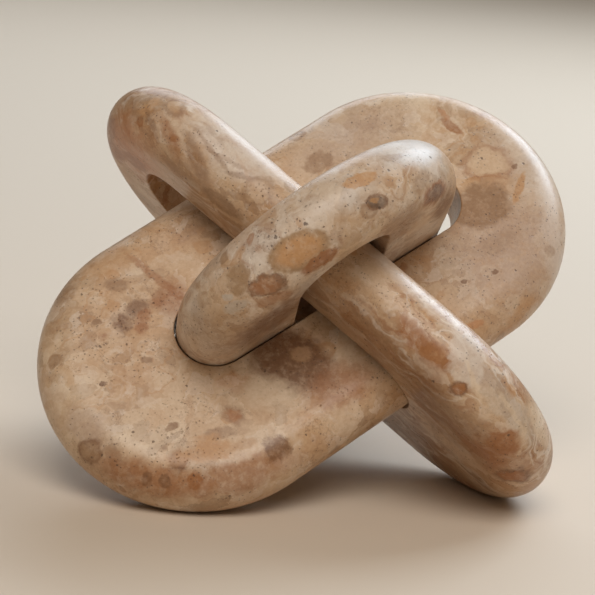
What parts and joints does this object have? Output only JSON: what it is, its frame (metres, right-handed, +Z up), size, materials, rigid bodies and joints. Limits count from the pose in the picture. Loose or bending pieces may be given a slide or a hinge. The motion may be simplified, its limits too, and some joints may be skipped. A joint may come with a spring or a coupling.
{
  "type": "stone knot sculpture",
  "caption": "Free-standing table ornament of beige marble: slotted, round-edged stone links passed through one another in a knot that can't come apart.",
  "frame": {"origin": "on the table, under the middle of the knot's bounding box", "axes": "+Z up; +X to the right as the front link points at the viewer, along the knot's longest side"},
  "size_m": [0.1956, 0.182, 0.1375],
  "materials": {
    "broad_marble": "satin polished beige fossil marble",
    "crossing_marble": "satin polished streaked brown marble",
    "front_marble": "satin polished cream marble",
    "dowel_steel": "ground stainless steel",
    "bond_resin": "cured stone resin"
  },
  "bodies": {
    "broad": {"broad_link": "broad_marble"},
    "crossing": {"crossing_link": "crossing_marble"},
    "front": {"front_link_near_half": "front_marble", "front_link_far_half": "front_marble", "left_dowel": "dowel_steel", "right_dowel": "dowel_steel", "left_bond": "bond_resin", "right_bond": "bond_resin"}
  },
  "joints": [
    {"name": "crossing_slide", "type": "slide", "parent": "broad", "child": "crossing", "axis": [-0.717, 0.4984, 0.4873], "range_m": [-0.0165, 0]},
    {"name": "front_slide", "type": "slide", "parent": "broad", "child": "front", "axis": [-0.0594, -0.8679, 0.4932], "range_m": [-0.018, 0]}
  ]
}
